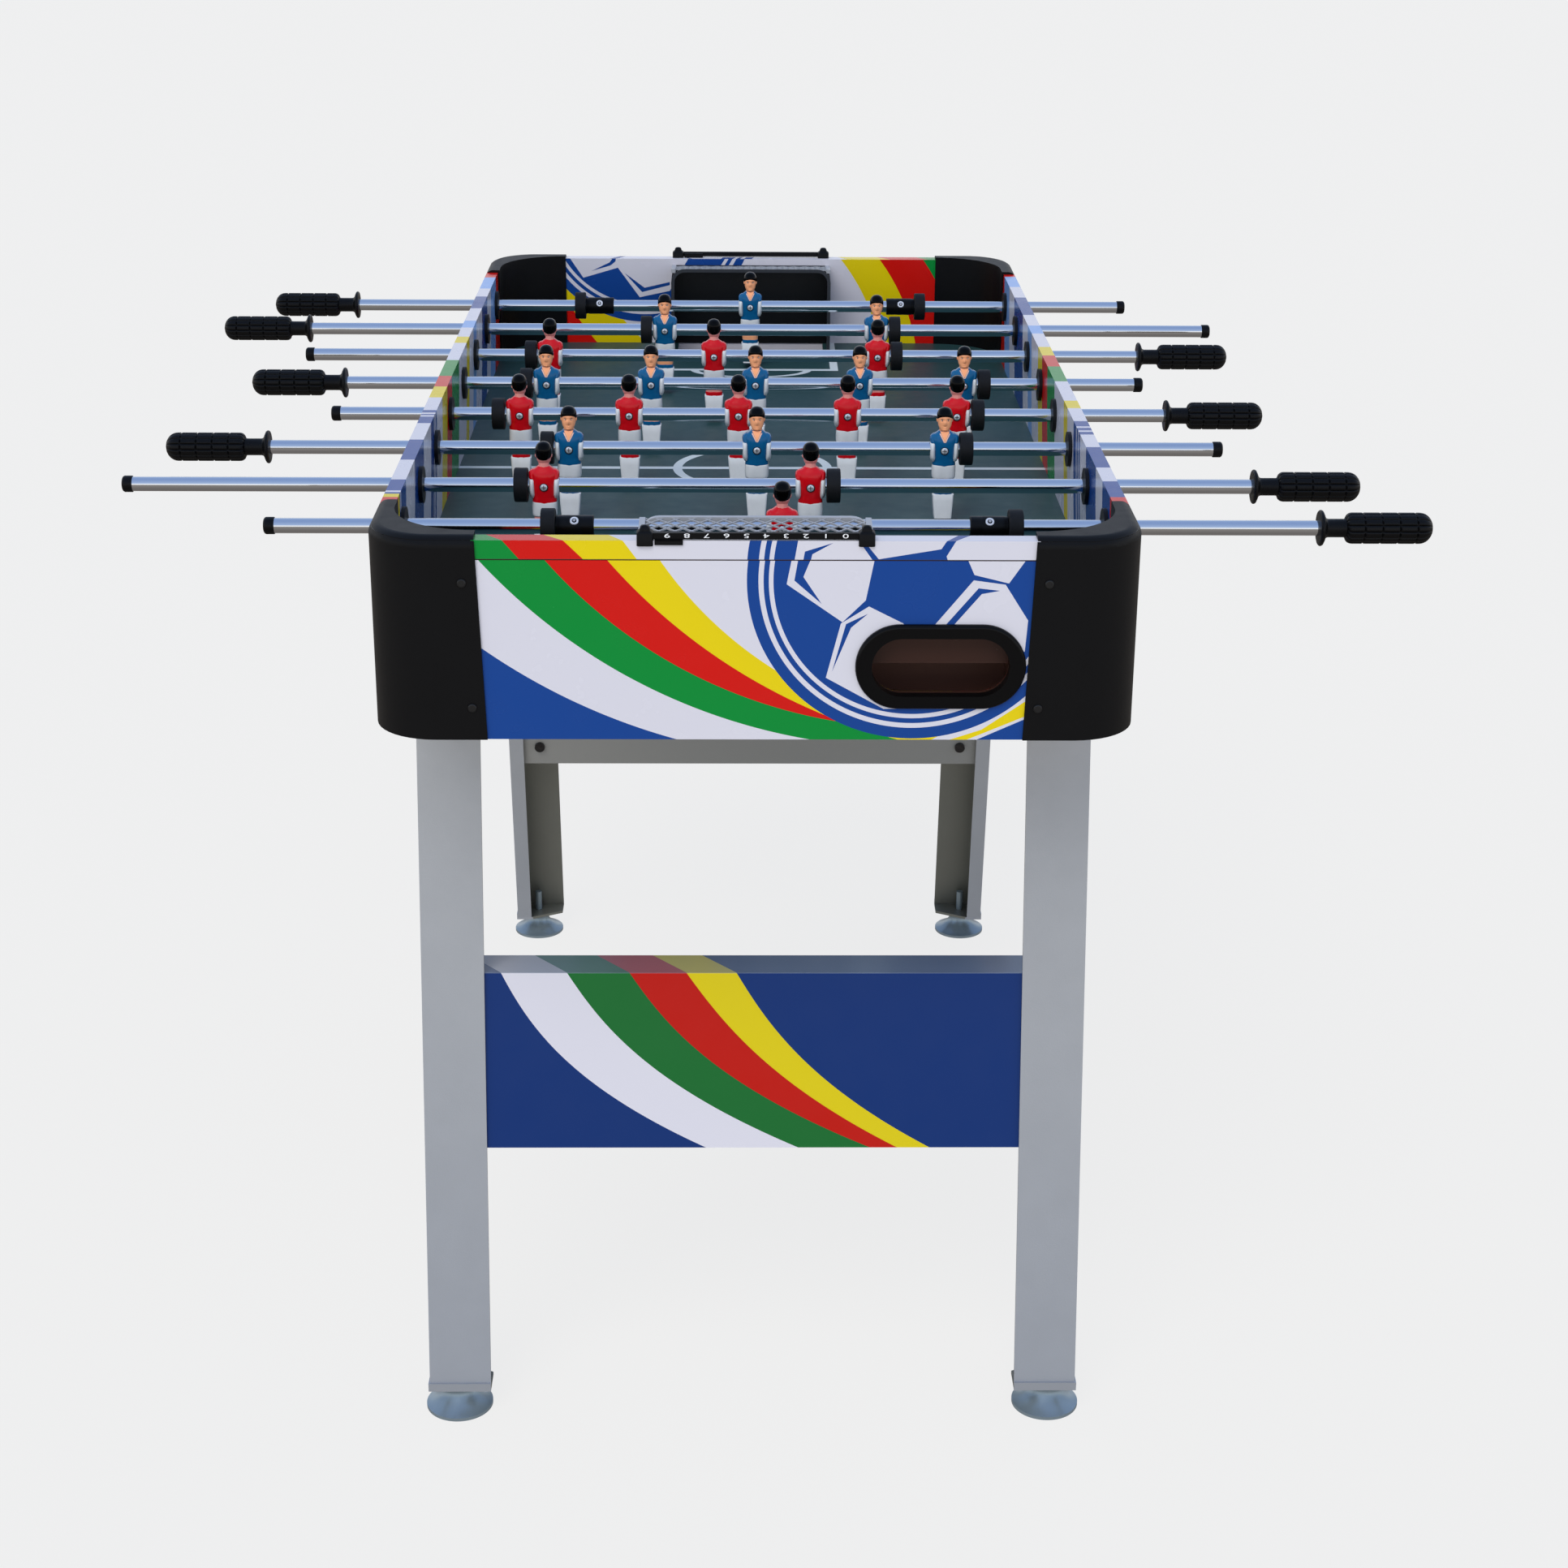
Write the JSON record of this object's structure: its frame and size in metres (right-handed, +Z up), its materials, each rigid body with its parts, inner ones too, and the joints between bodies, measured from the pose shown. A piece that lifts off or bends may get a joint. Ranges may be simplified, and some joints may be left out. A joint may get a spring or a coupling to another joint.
{
  "type": "foosball table",
  "caption": "Foosball table: sliding and spinning rods of men over a boxed field, with goals, ball returns, scorers and splayed steel legs on levelling feet.",
  "frame": {"origin": "on the floor under the middle of the field", "axes": "+X across the table along the rods, +Y along the table, +Z up"},
  "size_m": [1.1405, 1.216, 0.853],
  "materials": {
    "printed_board": "laminate with a printed pattern, satin",
    "field_board": "printed hardboard, satin",
    "raw_board": "raw fibreboard",
    "black_plastic": "fine grain, moulded",
    "coated_steel": "silver-grey powder coat",
    "chrome_tube": "polished",
    "rubber": "matt",
    "red_figure": "moulded and painted",
    "blue_figure": "moulded and painted",
    "fastener_steel": "blackened",
    "foot_plastic": "grey, slightly glossy"
  },
  "bodies": {
    "table": {"side_panel_left": "printed_board", "side_panel_right": "printed_board", "end_panel_front": "printed_board", "end_panel_back": "printed_board", "stretcher_front": "printed_board", "stretcher_back": "printed_board", "playfield": "field_board", "field_battens": "raw_board", "ball_chutes": "raw_board", "corner_caps": "black_plastic", "rod_bushings": "black_plastic", "goal_front": "black_plastic", "goal_back": "black_plastic", "return_cup_front": "black_plastic", "return_cup_back": "black_plastic", "scorer_bar_front": "black_plastic", "scorer_bar_back": "black_plastic", "leg_front_left": "coated_steel", "leg_front_right": "coated_steel", "leg_back_left": "coated_steel", "leg_back_right": "coated_steel", "fasteners": "fastener_steel"},
    "leveller_front_left": {"leveller_front_left": "foot_plastic"},
    "leveller_front_right": {"leveller_front_right": "foot_plastic"},
    "leveller_back_left": {"leveller_back_left": "foot_plastic"},
    "leveller_back_right": {"leveller_back_right": "foot_plastic"},
    "scorer_slider_front": {"scorer_slider_front": "black_plastic"},
    "scorer_slider_back": {"scorer_slider_back": "black_plastic"},
    "rod_1_travel": {"rod_1_bumpers": "rubber"},
    "rod_1_spin": {"rod_1_tube": "chrome_tube", "rod_1_men": "red_figure", "rod_1_fittings": "black_plastic"},
    "rod_2_travel": {"rod_2_bumpers": "rubber"},
    "rod_2_spin": {"rod_2_tube": "chrome_tube", "rod_2_men": "red_figure", "rod_2_fittings": "black_plastic"},
    "rod_3_travel": {"rod_3_bumpers": "rubber"},
    "rod_3_spin": {"rod_3_tube": "chrome_tube", "rod_3_men": "blue_figure", "rod_3_fittings": "black_plastic"},
    "rod_4_travel": {"rod_4_bumpers": "rubber"},
    "rod_4_spin": {"rod_4_tube": "chrome_tube", "rod_4_men": "red_figure", "rod_4_fittings": "black_plastic"},
    "rod_5_travel": {"rod_5_bumpers": "rubber"},
    "rod_5_spin": {"rod_5_tube": "chrome_tube", "rod_5_men": "blue_figure", "rod_5_fittings": "black_plastic"},
    "rod_6_travel": {"rod_6_bumpers": "rubber"},
    "rod_6_spin": {"rod_6_tube": "chrome_tube", "rod_6_men": "red_figure", "rod_6_fittings": "black_plastic"},
    "rod_7_travel": {"rod_7_bumpers": "rubber"},
    "rod_7_spin": {"rod_7_tube": "chrome_tube", "rod_7_men": "blue_figure", "rod_7_fittings": "black_plastic"},
    "rod_8_travel": {"rod_8_bumpers": "rubber"},
    "rod_8_spin": {"rod_8_tube": "chrome_tube", "rod_8_men": "blue_figure", "rod_8_fittings": "black_plastic"}
  },
  "joints": [
    {"name": "leveller_front_left_height", "type": "slide", "parent": "table", "child": "leveller_front_left", "axis": [0, 0, -1], "range_m": [0, 0.012]},
    {"name": "leveller_front_right_height", "type": "slide", "parent": "table", "child": "leveller_front_right", "axis": [0, 0, -1], "range_m": [0, 0.012]},
    {"name": "leveller_back_left_height", "type": "slide", "parent": "table", "child": "leveller_back_left", "axis": [0, 0, -1], "range_m": [0, 0.012]},
    {"name": "leveller_back_right_height", "type": "slide", "parent": "table", "child": "leveller_back_right", "axis": [0, 0, -1], "range_m": [0, 0.012]},
    {"name": "scorer_slider_front_slide", "type": "slide", "parent": "table", "child": "scorer_slider_front", "axis": [1, 0, 0], "range_m": [0, 0.135]},
    {"name": "scorer_slider_back_slide", "type": "slide", "parent": "table", "child": "scorer_slider_back", "axis": [1, 0, 0], "range_m": [0, 0.135]},
    {"name": "rod_1_slide", "type": "slide", "parent": "table", "child": "rod_1_travel", "axis": [1, 0, 0], "range_m": [-0.1105, 0.0655]},
    {"name": "rod_1_turn", "type": "hinge", "parent": "rod_1_travel", "child": "rod_1_spin", "pos_m": [0, -0.4585, 0.81], "axis": [1, 0, 0], "continuous": true},
    {"name": "rod_2_slide", "type": "slide", "parent": "table", "child": "rod_2_travel", "axis": [1, 0, 0], "range_m": [-0.0783, 0.2123]},
    {"name": "rod_2_turn", "type": "hinge", "parent": "rod_2_travel", "child": "rod_2_spin", "pos_m": [0, -0.3275, 0.81], "axis": [1, 0, 0], "continuous": true},
    {"name": "rod_3_slide", "type": "slide", "parent": "table", "child": "rod_3_travel", "axis": [1, 0, 0], "range_m": [-0.0923, 0.0863]},
    {"name": "rod_3_turn", "type": "hinge", "parent": "rod_3_travel", "child": "rod_3_spin", "pos_m": [0, -0.1965, 0.81], "axis": [1, 0, 0], "continuous": true},
    {"name": "rod_4_slide", "type": "slide", "parent": "table", "child": "rod_4_travel", "axis": [1, 0, 0], "range_m": [-0.037, 0.065]},
    {"name": "rod_4_turn", "type": "hinge", "parent": "rod_4_travel", "child": "rod_4_spin", "pos_m": [0, -0.0655, 0.81], "axis": [1, 0, 0], "continuous": true},
    {"name": "rod_5_slide", "type": "slide", "parent": "table", "child": "rod_5_travel", "axis": [1, 0, 0], "range_m": [-0.054, 0.048]},
    {"name": "rod_5_turn", "type": "hinge", "parent": "rod_5_travel", "child": "rod_5_spin", "pos_m": [0, 0.0655, 0.81], "axis": [1, 0, 0], "continuous": true},
    {"name": "rod_6_slide", "type": "slide", "parent": "table", "child": "rod_6_travel", "axis": [1, 0, 0], "range_m": [-0.0493, 0.1293]},
    {"name": "rod_6_turn", "type": "hinge", "parent": "rod_6_travel", "child": "rod_6_spin", "pos_m": [0, 0.1965, 0.81], "axis": [1, 0, 0], "continuous": true},
    {"name": "rod_7_slide", "type": "slide", "parent": "table", "child": "rod_7_travel", "axis": [1, 0, 0], "range_m": [-0.1663, 0.1243]},
    {"name": "rod_7_turn", "type": "hinge", "parent": "rod_7_travel", "child": "rod_7_spin", "pos_m": [0, 0.3275, 0.81], "axis": [1, 0, 0], "continuous": true},
    {"name": "rod_8_slide", "type": "slide", "parent": "table", "child": "rod_8_travel", "axis": [1, 0, 0], "range_m": [-0.087, 0.089]},
    {"name": "rod_8_turn", "type": "hinge", "parent": "rod_8_travel", "child": "rod_8_spin", "pos_m": [0, 0.4585, 0.81], "axis": [1, 0, 0], "continuous": true}
  ]
}
